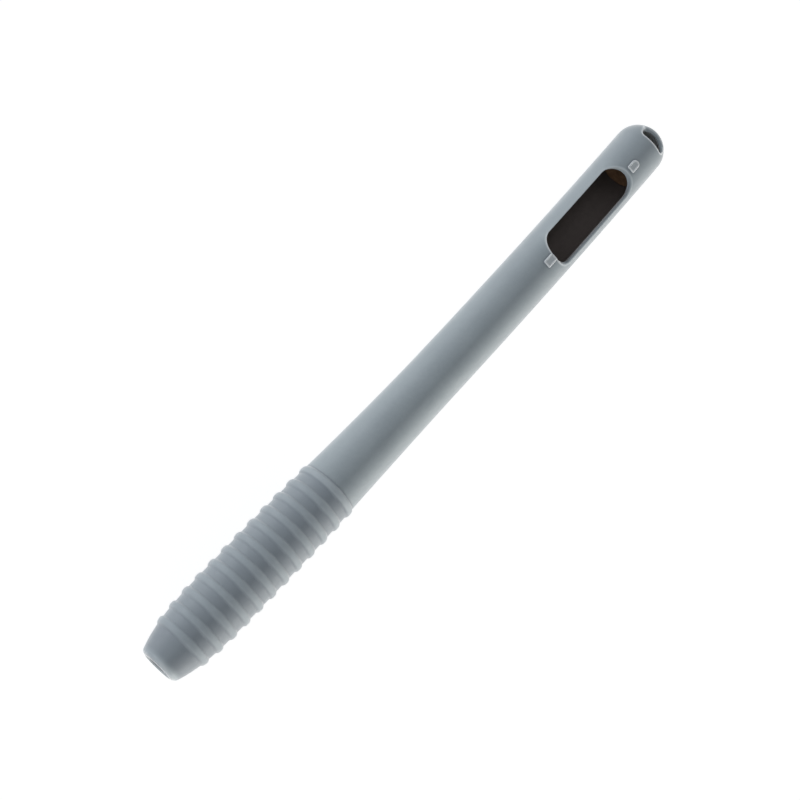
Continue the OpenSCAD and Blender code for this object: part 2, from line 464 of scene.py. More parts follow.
def rib_share(along):
    """Height of the ribs over their full height, from 0 between them to 1 on top."""
    along = np.asarray(along, float)
    share = np.zeros_like(along)
    for back in np.linspace(0, 1, RIB_COUNT):
        middle = FIRST_RIB + (LAST_RIB - FIRST_RIB) * back - RIB_CREEP * back**2 * (1 - back)
        reach = np.clip(np.abs(along - middle) / RIB_HALF, 0, 1)
        share = np.maximum(share, 1 - reach**RIB_POWER)
    return share


def blurred(values, step, spread, **ends):
    """Values with a step between them, smoothed over a spread; ends says how to go on past the two ends."""
    reach = int(math.ceil(3 * spread / step))
    weights = np.exp(-0.5 * (np.arange(-reach, reach + 1) * step / spread) ** 2)
    weights /= weights.sum()
    return np.convolve(np.pad(values, reach, **ends), weights, mode="valid")


def grip_wear_and_light(tip, ribbed, share, inside):
    """Wear, painted light and painted shade round each point of the grip's outline, which is given in its
    three parts.

    share is the height of the ribs over their full height, at the points of the ribbed part."""
    side = np.sin(COLUMN_ANGLES)[None, :]
    # Share away from the lit side of the nose and tip, where painted shade is added
    off_light = np.abs(np.sin(COLUMN_ANGLES - NOSE_LIGHT_ANGLE))[None, :]
    along = ribbed[:, :1]
    crest = np.clip((share - CREST_FROM) / CREST_BLEND, 0, 1)[:, None]
    # Painted shade on the nose, darker away from its lit side
    nose = NOSE_SHADE - NOSE_OFF_LIGHT_SHADE * off_light
    # Painted shade in the grooves, lighter towards +Y; crests paler, partly rubbed and partly a painted
    # highlight, less so at the sides
    groove = np.where(along < FIRST_RIB, nose, GROOVE_SHADE + GROOVE_ASIDE_LIGHT * side)
    rib_wear_and_light = groove + (CREST_WEAR_AND_LIGHT - CREST_ASIDE_SHADE * np.abs(side) - groove) * crest
    rib_wear_and_light += np.where(along > LAST_RIB - RIB_HALF, LAST_CREST_WEAR_AND_LIGHT, 0) * crest
    # Painted shade on the lip and a painted highlight on the tip's rounding, darker towards +Y and away
    # from the lit side
    back = tip[:, :1] / TIP_ROUND
    tip_light_and_shade = np.interp(back, TIP_PLACES, TIP_LIGHT_AND_SHADE) - TIP_ASIDE_SHADE * np.clip(side, *TIP_ASIDE_SHADE_LIMITS)
    off_light_share = np.interp(back, TIP_OFF_LIGHT_PLACES, (0, 1)) * np.clip(2 * off_light, 0, 1) ** 2
    tip_light_and_shade = tip_light_and_shade - TIP_OFF_LIGHT_SHADE * off_light_share
    near_tip = np.clip((TIP_LIT_LENGTH - along) / (TIP_LIT_LENGTH - TIP_ROUND), 0, 1) ** NOSE_FADE
    rib_wear_and_light += (tip_light_and_shade[-1:] - rib_wear_and_light) * near_tip
    # Painted light inside the mouth
    inner_light = np.repeat(np.where(inside[:, :1] < LINER_FRONT, MOUTH_INSIDE_LIGHT, 0.0), COLUMNS, axis=1)
    inner_light[-1] = tip_light_and_shade[0]
    return np.maximum(np.concatenate([tip_light_and_shade, rib_wear_and_light, inner_light]), DARKEST_GRIP)


def grip_profile():
    """Outline of the grip from the mouth over the ribs to the socket, and the wear, painted light and
    painted shade at each point.
    """
    turns = np.linspace(0, TIP_SWEEP, TIP_POINTS)
    front_r = MOUTH_R + LIP
    nose_r = float(grip_r(TIP_ROUND))
    tip = np.stack([
        TIP_ROUND * (1 - np.cos(turns)) / (1 - math.cos(TIP_SWEEP)),
        front_r + (nose_r - front_r) * np.sin(turns) / math.sin(TIP_SWEEP)], axis=1)
    along = np.arange(TIP_ROUND, GRIP_LENGTH - EDGE_ROUND, GRIP_STEP)
    share = blurred(rib_share(along), GRIP_STEP, RIB_SOFTNESS, mode="reflect", reflect_type="odd")
    ribbed = np.stack([along, grip_r(along) + RIB_HEIGHT * share], axis=1)[GRIP_KEEP::GRIP_KEEP]
    inside = softened([
        (GRIP_LENGTH - EDGE_ROUND, FLARE_R),
        (GRIP_LENGTH, FLARE_R),
        (GRIP_LENGTH, LAP_R + LAP_GAP),
        (LAP_FRONT - LAP_END_ROOM, LAP_R + LAP_GAP),
        (LAP_FRONT - LAP_END_ROOM, BORE_R),
        (LINER_FRONT, BORE_R),
        (LINER_FRONT, NOSE_BORE_R),
        (LIP + MOUTH_LAND, MOUTH_R),
        (LIP, MOUTH_R),
        (0, front_r)], EDGE_ROUND)[1:]
    wear_and_light = grip_wear_and_light(tip, ribbed, share[GRIP_KEEP::GRIP_KEEP], inside)
    return np.concatenate([tip, ribbed, inside]), wear_and_light


def make_grip(material):
    """The ribbed grip: one outline turned round the axis, from the mouth to the socket and back inside."""
    skin = Skin()
    profile, wear_and_light = grip_profile()
    skin.grid(revolved(profile), wear_and_light, closed=True)
    return skin.build("grip_skin", material)


# Window, cut through the barrel and through the liner


def slot_loop(start, end, width, front_corner, rear_corner, counts):
    """Outline of a slot as [along, y], from the middle of its rear end round by the +Y side.

    counts gives the steps on a half of the rear end, its corner, a long side, a front corner and a half
    of the front end."""
    rear_line, rear_arc, side, front_arc, front_line = counts
    half = width / 2
    points = [(end, (half - rear_corner) * t) for t in np.linspace(0, 1, rear_line + 1)]
    for turn in np.linspace(0, math.pi / 2, rear_arc + 1)[1:]:
        points.append((end - rear_corner + rear_corner * math.cos(turn),
                       half - rear_corner + rear_corner * math.sin(turn)))
    for t in np.linspace(0, 1, side + 1)[1:]:
        points.append((end - rear_corner + (start + front_corner - end + rear_corner) * t, half))
    for turn in np.linspace(0, math.pi / 2, front_arc + 1)[1:]:
        points.append((start + front_corner - front_corner * math.sin(turn),
                       half - front_corner + front_corner * math.cos(turn)))
    for t in np.linspace(1, 0, front_line + 1)[1:]:
        points.append((start, (half - front_corner) * t))
    upper = np.array(points)
    lower = upper[-2:0:-1] * np.array([1, -1])
    return np.concatenate([upper, lower])


WINDOW_COUNTS = (
    WINDOW_REAR_STEPS, PATCH_COLUMNS - WINDOW_REAR_STEPS, PATCH_ROWS,
    PATCH_COLUMNS - WINDOW_FRONT_STEPS, WINDOW_FRONT_STEPS)
PATCH_ANGLE = 2 * math.pi * PATCH_COLUMNS / COLUMNS


def window_plan(grow):
    """The window's outline as [along, y], grown all round. Its front corners differ on the two sides."""
    left, right = [
        slot_loop(WINDOW_START - grow, WINDOW_END + grow, WINDOW_WIDTH + 2 * grow, corner + grow,
                  WINDOW_REAR_CORNER + grow, WINDOW_COUNTS)
        for corner in WINDOW_FRONT_CORNERS]
    half = len(left) // 2 + 1
    return np.concatenate([left[:half], right[half:]])


WINDOW_PLAN = window_plan(0)
WINDOW_OUTWARD = (window_plan(MM) - WINDOW_PLAN) / MM


def window_loop(offset, lean=0.0):
    """The window's outline, moved outwards by an offset, even or not, and sideways by a lean."""
    return WINDOW_PLAN + WINDOW_OUTWARD * np.reshape(offset, (-1, 1)) + np.array([0, lean])


def patch_along(margin):
    """Places along the sleeve of the rows beside the window, from the rear to the front."""
    return np.linspace(WINDOW_END + margin, WINDOW_START - margin, PATCH_ROWS + 1)


def patch_border(margin):
    """The border of the patch round the window as [along, angle], in the order of the window's outline."""
    angles = np.linspace(0, PATCH_ANGLE, PATCH_COLUMNS + 1)
    along = patch_along(margin)
    upper = [(along[0], a) for a in angles]
    upper += [(row, PATCH_ANGLE) for row in along[1:]]
    upper += [(along[-1], a) for a in angles[-2::-1]]
    upper = np.array(upper)
    lower = upper[-2:0:-1] * np.array([1, -1])
    return np.concatenate([upper, lower])


def lifted(loop, radius, raise_by=0.0):
    """A plan outline [along, y] on a round surface, moved along Z."""
    height = np.sqrt(radius**2 - loop[:, 1] ** 2) + raise_by
    return np.stack([loop[:, 0] + TIP_X, loop[:, 1], height], axis=1)


def window_patch(skin, radius, loop, margin, edge_light, wear_and_light, lightening=0.0):
    """A round surface between the border of its patch and an outline of the window.

    The last three arguments give the painted light at each point of the outline, the wear and painted shade
    for a place along elsewhere, and painted light added beside the outline, painted shade where it is below
    0, which fades away from it."""
    inner = np.stack([loop[:, 0], np.arcsin(loop[:, 1] / radius)], axis=1)
    border = patch_border(margin)
    rows, values = [], []
    for share in np.linspace(0, 1, PATCH_LAYERS + 1) ** PATCH_CROWDING:
        ring = inner + (border - inner) * share
        rows.append(on_sleeve(ring[:, 0], radius, ring[:, 1]))
        near = max(0, 1 - share / SIDE_LIGHT_REACH)
        values.append(edge_light if share == 0 else wear_and_light(ring[:, 0]) + lightening * near)
    skin.grid(rows, values, closed=True)


def window_rim(skin, wall, offset, rim, inner_rim, draft, lean, rolled, rim_highlight):
    """The rounded edges of a window through a wall of (outer, inner) radius, and the cut face between them.

    draft is how far the cut closes in all round and lean how far it leans to one side. At each point of the
    loop, rolled is the share of the wide rounding that the outer edge has, and the last argument is its
    painted highlight. Where it is rolled, the rounding is painted pale at its top and dark with painted
    shade below, and the cut is darkened with painted shade."""
    roll = WINDOW_ROLL * rolled
    # Painted shade on the cut, where the edge is rolled
    cut_shade = np.full_like(rim_highlight, CUT_SHADE * rolled)
    rows, wear_and_light = [], []
    for turn in np.linspace(0, math.pi / 2, RIM_STEPS + 1):
        loop = window_loop(offset + rim - (rim + roll) * math.sin(turn))
        rows.append(lifted(loop, wall[0], -(rim + roll) * (1 - math.cos(turn))))
        # Where rolled: a painted highlight at the top of the rounding, painted shade below it
        roll_light_and_shade = ROLL_HIGHLIGHT * math.cos(turn) ** 2 - ROLL_SHADE * math.sin(turn) ** ROLL_SHADE_POWER
        worn = rim_highlight * min(1, WINDOW_RIM_FADE * math.cos(turn)) + rolled * roll_light_and_shade
        wear_and_light.append(np.maximum(worn, CUT_SHADE))
    upper = rows[-1]
    lower = lifted(window_loop(offset - draft, lean), wall[1], inner_rim)
    for share in np.linspace(0, 1, WALL_STEPS + 1)[1:]:
        rows.append(upper + (lower - upper) * share)
        wear_and_light.append(cut_shade)
    for turn in np.linspace(0, math.pi / 2, RIM_STEPS + 1)[1:]:
        loop = window_loop(offset - draft + inner_rim * (1 - math.cos(turn)), lean)
        rows.append(lifted(loop, wall[1], inner_rim * (1 - math.sin(turn))))
        wear_and_light.append(cut_shade)
    skin.grid(rows, wear_and_light, closed=True)


def windowed(skin, profile, wall, margin, wear_and_light):
    """A turned outline, left open on the outer and inner face of a wall where the window's patches go.

    The last argument gives the wear and painted shade for a place along."""
    along = patch_along(margin)
    ends = [(along[0], wall[0]), (along[-1], wall[1])]
    starts = [int(np.abs(profile - end).sum(axis=1).argmin()) for end in ends]

    def in_patch(row, column):
        beside = column < PATCH_COLUMNS or column >= COLUMNS - PATCH_COLUMNS
        return beside and any(start <= row < start + PATCH_ROWS for start in starts)

    skin.grid(revolved(profile), wear_and_light(profile[:, 0]), closed=True, skip=in_patch)


# Liner and stop


def unworn(along):
    """Neither wear nor painted light anywhere along the sleeve."""
    return np.zeros(np.shape(along))


def make_liner(material):
    """The dark tube: open in front, a window under the barrel's, and a seat for the stop behind."""
    skin = Skin()
    rear, front = WINDOW_END + LINER_PATCH_MARGIN, WINDOW_START - LINER_PATCH_MARGIN
    mouth = LINER_FRONT + 2 * LINER_EDGE
    profile = np.concatenate([
        straight_run(rear, front, LINER_R, PATCH_ROWS + 1),
        straight_run(front, mouth, LINER_R, LINER_POINTS)[1:],
        softened([
            (mouth, LINER_R), (LINER_FRONT, LINER_R), (LINER_FRONT, LINER_BORE_R),
            (mouth, LINER_BORE_R)], LINER_EDGE)[1:],
        straight_run(mouth, front, LINER_BORE_R, LINER_POINTS)[1:],
        straight_run(front, rear, LINER_BORE_R, PATCH_ROWS + 1)[1:],
        softened([
            (rear, LINER_BORE_R), (STOP_FACE, LINER_BORE_R), (STOP_FACE, SEAT_R), (LINER_END, SEAT_R),
            (LINER_END, LINER_R), (rear, LINER_R)], LINER_EDGE)[1:]])
    wall = (LINER_R, LINER_BORE_R)
    windowed(skin, profile, wall, LINER_PATCH_MARGIN, unworn)
    outer = window_loop(LINER_MARGIN + LINER_EDGE)
    inner = window_loop(LINER_MARGIN + LINER_EDGE / 2 - LINER_DRAFT)
    window_patch(skin, LINER_R, outer, LINER_PATCH_MARGIN, unworn(outer[:, 0]), unworn)
    window_patch(skin, LINER_BORE_R, inner, LINER_PATCH_MARGIN, unworn(inner[:, 0]), unworn)
    # Painted highlight on the edges of the liner's window
    edge_light = np.full(len(outer), LINER_EDGE_HIGHLIGHT)
    window_rim(skin, wall, LINER_MARGIN, LINER_EDGE, LINER_EDGE / 2, LINER_DRAFT, 0, 0, edge_light)
    points = np.array(skin.points)
    in_bore = np.hypot(points[:, 1], points[:, 2]) < LINER_BORE_R + LINER_EDGE
    # Painted light in the bore, paler towards -Y
    dust_and_light = LINER_BORE_LIGHT * in_bore * (1 - points[:, 1] / LINER_BORE_R) ** 2
    skin.wear_and_light = (np.array(skin.wear_and_light) + dust_and_light).tolist()
    return skin.build("liner_skin", material)


def make_stop(material):
    """The brown plug: a dished face, a body in the liner's seat, then a thin flange and a button."""
    skin = Skin()
    dish_middle = STOP_FACE - math.sqrt(DISH_R**2 - LINER_BORE_R**2)
    radii = np.linspace(0, LINER_BORE_R, DISH_POINTS)
    dish = np.stack([dish_middle + np.sqrt(DISH_R**2 - radii**2), radii], axis=1)
    flange_end = LINER_END + STOP_FLANGE
    body = softened([
        dish[-1], (STOP_FACE, STOP_R), (LINER_END, STOP_R), (LINER_END, LINER_R), (flange_end, LINER_R),
        (flange_end, STOP_BUTTON_R), (STOP_END, STOP_BUTTON_R), (STOP_END, 0)], LINER_EDGE)
    skin.grid(revolved(np.concatenate([dish, body[1:]])), closed=True)
    return skin.build("stop_skin", material)


# Barrel

NOTCH_AXIS = np.array([math.cos(NOTCH_TILT), 0, math.sin(NOTCH_TILT)])
NOTCH_UP = np.array([-math.sin(NOTCH_TILT), 0, math.cos(NOTCH_TILT)])
NOTCH_SIDE = np.array([0, 1, 0])


def dome_direction(polar, azimuth):
    """Unit vectors at a polar angle from the middle of the opening, at an azimuth round it."""
    polar, azimuth = np.broadcast_arrays(np.asarray(polar, float), np.asarray(azimuth, float))
    across = np.cos(azimuth)[..., None] * NOTCH_UP + np.sin(azimuth)[..., None] * NOTCH_SIDE
    return np.cos(polar)[..., None] * NOTCH_AXIS + np.sin(polar)[..., None] * across


def in_notch(point):
    """Whether a point, from the middle of the dome, is inside the opening's cutter."""
    x, y, z = point
    if x < NOTCH_FRONT or abs(y) > NOTCH_HALF or z < HOOD_RISE:
        return False
    past_x = NOTCH_FRONT + NOTCH_CORNER - x
    past_y = abs(y) - (NOTCH_HALF - NOTCH_CORNER)
    return past_x < 0 or past_y < 0 or math.hypot(past_x, past_y) < NOTCH_CORNER


def notch_polar(radius):
    """Polar angle of the opening's edge on a round surface, as a function of the azimuth."""
    azimuths = np.linspace(0, 2 * math.pi, NOTCH_POINTS + 1)[:-1]
    edge = []
    for azimuth in azimuths:
        low, high = 0.0, math.pi / 2
        for _ in range(NOTCH_HALVINGS):
            middle = (low + high) / 2
            if in_notch(radius * dome_direction(middle, azimuth)):
                low = middle
            else:
                high = middle
        edge.append(low)
    smooth = blurred(edge, azimuths[1], NOTCH_SOFTNESS, mode="wrap")
    return lambda azimuth: np.interp(np.mod(azimuth, 2 * math.pi), azimuths, smooth, period=2 * math.pi)


def dome_point(direction, radius):
    """Points of the row frame on the dome, which is slightly flat, for unit vectors from its middle."""
    return direction * radius * np.array([DOME_REACH, 1, 1]) + np.array([DOME_MIDDLE + TIP_X, 0, 0])


def notch_highlight(azimuth):
    """Painted highlight on the opening's outer edge: palest in front, weaker on the hood and on the +Y
    side.
    """
    in_front = np.clip(np.cos(azimuth) + NOTCH_FRONT_REACH, 0, 1)
    return NOTCH_RIM_HIGHLIGHT + NOTCH_FRONT_HIGHLIGHT * in_front - NOTCH_ASIDE_SHADE * np.sin(azimuth)


def dome_shell(skin, radius, rim, edge, wear_and_light, edge_light):
    """One surface of the dome, from its equator to the rim of the opening. Returns the rim's azimuths.

    The last argument gives the painted light at the rim for an azimuth, which fades into the painted light
    and shade of the rest."""
    equator = np.stack([np.zeros(COLUMNS), np.sin(COLUMN_ANGLES), np.cos(COLUMN_ANGLES)], axis=1)
    azimuth = np.arctan2(equator @ NOTCH_SIDE, equator @ NOTCH_UP)
    outer = np.arccos(equator @ NOTCH_AXIS)
    inner = edge(azimuth) + rim / radius
    rows, values = [], []
    for share in np.linspace(0, 1, SPOKE_STEPS + 1):
        rows.append(dome_point(dome_direction(inner + (outer - inner) * share, azimuth), radius))
        near = np.clip(1 - (outer - inner) * share * radius / PALE_BAND, 0, 1)
        values.append(wear_and_light + (edge_light(azimuth) - wear_and_light) * near)
    skin.grid(rows, values, closed=True)
    return azimuth


def notch_rim(skin, azimuth, outer_edge, inner_edge):
    """The rounded edges of the opening in the dome, with a painted highlight palest in front, and the cut
    wall between them, painted pale at the top, with painted shade lower down and painted light towards the
    inside.
    """
    outer_polar, inner_polar = outer_edge(azimuth), inner_edge(azimuth)
    corner = dome_point(dome_direction(outer_polar, azimuth), BARREL_R)
    under = dome_point(dome_direction(inner_polar, azimuth), BORE_R)
    down = (under - corner) / np.linalg.norm(under - corner, axis=1)[:, None]
    start = dome_point(dome_direction(outer_polar + NOTCH_RIM / BARREL_R, azimuth), BARREL_R)
    end = corner + down * NOTCH_RIM
    rim_highlight = notch_highlight(azimuth)
    rows, wear_and_light = [], []
    # Painted highlight round the outer rounding, fading inwards
    for t in np.linspace(0, 1, RIM_STEPS + 1):
        rows.append((1 - t) ** 2 * start + 2 * t * (1 - t) * corner + t * t * end)
        wear_and_light.append(rim_highlight * min(1, NOTCH_RIM_HOLD - NOTCH_RIM_FADE * t))
    start = under - down * NOTCH_INNER_RIM
    # The cut wall: painted pale at the top and painted shade lower down, then painted light inside the dome
    top_light, low_shade = NOTCH_WALL_LIGHT_AND_SHADE
    for share in np.linspace(0, 1, WALL_STEPS + 1)[1:]:
        rows.append(end + (start - end) * share)
        wear_and_light.append(np.full_like(rim_highlight, top_light + (low_shade - top_light) * share))
    end = dome_point(dome_direction(inner_polar + NOTCH_INNER_RIM / BORE_R, azimuth), BORE_R)
    for t in np.linspace(0, 1, RIM_STEPS + 1)[1:]:
        rows.append((1 - t) ** 2 * start + 2 * t * (1 - t) * under + t * t * end)
        wear_and_light.append(np.full_like(rim_highlight, low_shade + (DOME_INSIDE_LIGHT - low_shade) * t**3))
    skin.grid(rows, wear_and_light, closed=True)


# Depth in from a tab's outline and height over the barrel, across the thin skirt round the tab and its rim
TAB_PROFILE = [
    (-TAB_SKIRT, TAB_ROOT), (-TAB_SKIRT, 0.006 * MM), (-TAB_SKIRT / 2, 0.01 * MM), (0, 0.02 * MM),
    (0.02 * MM, 0.5 * TAB_HEIGHT), (0.06 * MM, 0.82 * TAB_HEIGHT),
    (0.13 * MM, 0.97 * TAB_HEIGHT), (0.21 * MM, TAB_HEIGHT), (0.29 * MM, 0.97 * TAB_HEIGHT),
    (0.36 * MM, 0.8 * TAB_HEIGHT), (0.41 * MM, 0.55 * TAB_HEIGHT), (TAB_RIM + 0.05 * MM, 1.1 * TAB_FLOOR),
    (TAB_RIM + 0.15 * MM, TAB_FLOOR), (0.9 * TAB_WIDTH / 2, TAB_FLOOR)]


def make_tab(skin, start, rear_corner, skirt_behind):
    """A raised tab on the barrel: a rounded rim round a lower floor, with its root inside the wall.

    A thin skirt round it is darkened next to the tab with painted shade; skirt_behind says whether it goes
    round the rear end."""
    rows, wear_and_light = [], []
    for depth, height in TAB_PROFILE:
        behind = depth if depth > 0 or skirt_behind else 0
        loop = slot_loop(
            start + depth, start + TAB_LENGTH - behind, TAB_WIDTH - 2 * depth,
            max(TAB_CORNER - depth, LEAST_TAB_CORNER), max(rear_corner - depth, LEAST_TAB_CORNER),
            TAB_COUNTS)
        angle = np.arcsin(loop[:, 1] / BARREL_R)
        rows.append(on_sleeve(loop[:, 0], BARREL_R + height, angle))
        if depth > 0:
            # Tab paler, with a painted highlight on its rim, stronger towards -Y
            raised = np.clip((height - TAB_FLOOR) / (TAB_HEIGHT - TAB_FLOOR), 0, 1)
            wear_and_light.append(TAB_PALENESS + raised * TAB_RIM_HIGHLIGHT * (1 - loop[:, 1] / TAB_WIDTH))
        else:
            # Painted shade on the skirt, darkest next to the tab
            barrel_level = barrel_shade(loop[:, 0])
            wear_and_light.append(barrel_level + (TAB_SKIRT_SHADE - barrel_level) * (1 + depth / TAB_SKIRT))
    skin.grid(rows, wear_and_light, closed=True)
    skin.cap(rows[0])
    skin.cap(rows[-1], TAB_PALENESS)


def barrel_profile():
    """Outline of the barrel from the inner equator of the dome forwards, and back along the outside."""
    front = GRIP_LENGTH + PARTING_GAP
    rows = patch_along(PATCH_MARGIN)
    shares = np.linspace(1, 0, FLARE_POINTS)
    flare = np.stack([
        front + EDGE_ROUND + (FLARE_LENGTH - EDGE_ROUND) * shares,
        BARREL_R + (FLARE_R - BARREL_R) * (1 - shares) ** FLARE_POWER], axis=1)
    thin_end = softened([
        (front + EDGE_ROUND, FLARE_R),
        (front, FLARE_R),
        (front, LAP_R),
        (LAP_FRONT, LAP_R),
        (LAP_FRONT, BORE_R),
        (LAP_FRONT + LAP_LENGTH, BORE_R)], INNER_ROUND)
    return np.concatenate([
        [[DOME_MIDDLE, BARREL_R]],
        straight_run(rows[0], rows[-1], BARREL_R, PATCH_ROWS + 1),
        straight_run(rows[-1], front + FLARE_LENGTH, BARREL_R, BARREL_POINTS)[1:-1],
        flare,
        thin_end[1:],
        straight_run(LAP_FRONT + LAP_LENGTH, rows[-1], BORE_R, BORE_POINTS)[1:-1],
        straight_run(rows[-1], rows[0], BORE_R, PATCH_ROWS + 1),
        [[DOME_MIDDLE, BORE_R]]])


def barrel_shade(along):
    """Painted shade of the barrel away from its edges: a little darker towards the rear."""
    return REAR_SHADE * np.clip((along - REAR_SHADE_START) / REAR_SHADE_LENGTH, 0, 1)


def make_barrel(material):
    """The smooth barrel: its turned wall, the window, the dome with its opening, and the two tabs."""
    skin = Skin()
    wall = (BARREL_R, BORE_R)
    windowed(skin, barrel_profile(), wall, PATCH_MARGIN, barrel_shade)
    outer = window_loop(WINDOW_RIM)
    inner = window_loop(WINDOW_INNER_RIM - WINDOW_DRAFT, WINDOW_LEAN)
    at_front = np.clip(1 - (outer[:, 0] - WINDOW_START) / WINDOW_FRONT_REACH, 0, 1)
    at_rear = np.clip(1 - (WINDOW_END - outer[:, 0]) / WINDOW_REAR_CORNER, 0, 1)
    # Painted light beside the window's +Y side, painted shade beside its -Y side where the edge is rolled,
    # and painted highlights on the rim, strongest in front
    rolled = np.clip(-WINDOW_OUTWARD[:, 1], 0, 1) ** 2
    lightening = LEFT_PAINTED_LIGHT * np.clip(WINDOW_OUTWARD[:, 1], 0, 1) ** 2 - RIGHT_PAINTED_SHADE * rolled
    rim_highlight = WINDOW_RIM_HIGHLIGHT + WINDOW_FRONT_HIGHLIGHT * at_front + WINDOW_REAR_HIGHLIGHT * at_rear
    rim_highlight = rim_highlight * (1 - ROLL_RIM_SHADE * rolled) + LEFT_EDGE_SHARE * np.clip(lightening, 0, 1)
    edge_light = rim_highlight + ROLL_HIGHLIGHT * rolled
    window_patch(skin, BARREL_R, outer, PATCH_MARGIN, edge_light, barrel_shade, lightening)
    window_patch(skin, BORE_R, inner, PATCH_MARGIN, unworn(inner[:, 0]), barrel_shade)
    window_rim(skin, wall, 0, WINDOW_RIM, WINDOW_INNER_RIM, WINDOW_DRAFT, WINDOW_LEAN, rolled, rim_highlight)
    outer_edge = notch_polar(BARREL_R)
    inner_edge = notch_polar(BORE_R)
    azimuth = dome_shell(skin, BARREL_R, NOTCH_RIM, outer_edge, barrel_shade(DOME_MIDDLE), notch_highlight)
    # Inside of the dome painted pale: painted light
    dome_shell(skin, BORE_R, NOTCH_INNER_RIM, inner_edge, DOME_INSIDE_LIGHT,
               lambda around: np.full_like(around, DOME_INSIDE_LIGHT))
    notch_rim(skin, azimuth, outer_edge, inner_edge)
    make_tab(skin, FRONT_TAB_START, TAB_CORNER, False)
    make_tab(skin, REAR_TAB_START, REAR_TAB_CORNER, True)
    return skin.build("barrel_skin", material)


# Materials


class Nodes:
    """A new material and short ways to add nodes to it."""

    # Places of the share and the two colours among a mix node's inputs, and of the mixed colour
    MIX_INPUTS = (0, 6, 7)
    MIX_OUTPUT = 2

    def __init__(self, name):
        self.material = bpy.data.materials.new(name)
        self.material.use_nodes = True
        self.tree = self.material.node_tree
        self.shader = self.tree.nodes["Principled BSDF"]
        self.coordinates = self.tree.nodes.new("ShaderNodeTexCoord").outputs["Object"]

    def link(self, start, end):
        """Joins an output socket to an input socket."""
        self.tree.links.new(start, end)

    def noise(self, scale, detail=2.0, stretch=None):
        """A noise value over the piece's own coordinates, in waves per metre."""
        vector = self.coordinates
        if stretch is not None:
            mapping = self.tree.nodes.new("ShaderNodeMapping")
            mapping.inputs["Scale"].default_value = stretch
            self.link(vector, mapping.inputs["Vector"])
            vector = mapping.outputs["Vector"]
        node = self.tree.nodes.new("ShaderNodeTexNoise")
        node.inputs["Scale"].default_value = scale
        node.inputs["Detail"].default_value = detail
        self.link(vector, node.inputs["Vector"])
        return node.outputs["Fac"]

    def spread(self, value, low, high, to_low, to_high):
        """A value taken from one range to another, held at the ends."""
        node = self.tree.nodes.new("ShaderNodeMapRange")
        for name, number in zip(("From Min", "From Max", "To Min", "To Max"), (low, high, to_low, to_high)):
            node.inputs[name].default_value = number
        self.link(value, node.inputs["Value"])
        return node.outputs["Result"]

    def mix(self, share, first, second):
        """A mix of two colours by a share; a colour is a socket or three numbers."""
        node = self.tree.nodes.new("ShaderNodeMix")
        node.data_type = "RGBA"
        for place, source in zip(self.MIX_INPUTS, (share, first, second)):
            if isinstance(source, bpy.types.NodeSocket):
                self.link(source, node.inputs[place])
            else:
                node.inputs[place].default_value = (*source, 1)
        return node.outputs[self.MIX_OUTPUT]

    def compute(self, operation, first, second):
        """A sum, product or the like of two sockets or numbers."""
        node = self.tree.nodes.new("ShaderNodeMath")
        node.operation = operation
        for socket, source in zip(node.inputs, (first, second)):
            if isinstance(source, bpy.types.NodeSocket):
                self.link(source, socket)
            else:
                socket.default_value = source
        return node.outputs[0]

    def attribute(self, name):
        """The value of a mesh attribute."""
        node = self.tree.nodes.new("ShaderNodeAttribute")
        node.attribute_name = name
        return node.outputs["Fac"]

    def bump(self, heights):
        """Bumps of (height, strength, distance), one on the other, into the shader's normal."""
        normal = None
        for height, strength, distance in heights:
            node = self.tree.nodes.new("ShaderNodeBump")
            node.inputs["Strength"].default_value = strength
            node.inputs["Distance"].default_value = distance
            self.link(height, node.inputs["Height"])
            if normal is not None:
                self.link(normal, node.inputs["Normal"])
            normal = node.outputs["Normal"]
        self.link(normal, self.shader.inputs["Normal"])


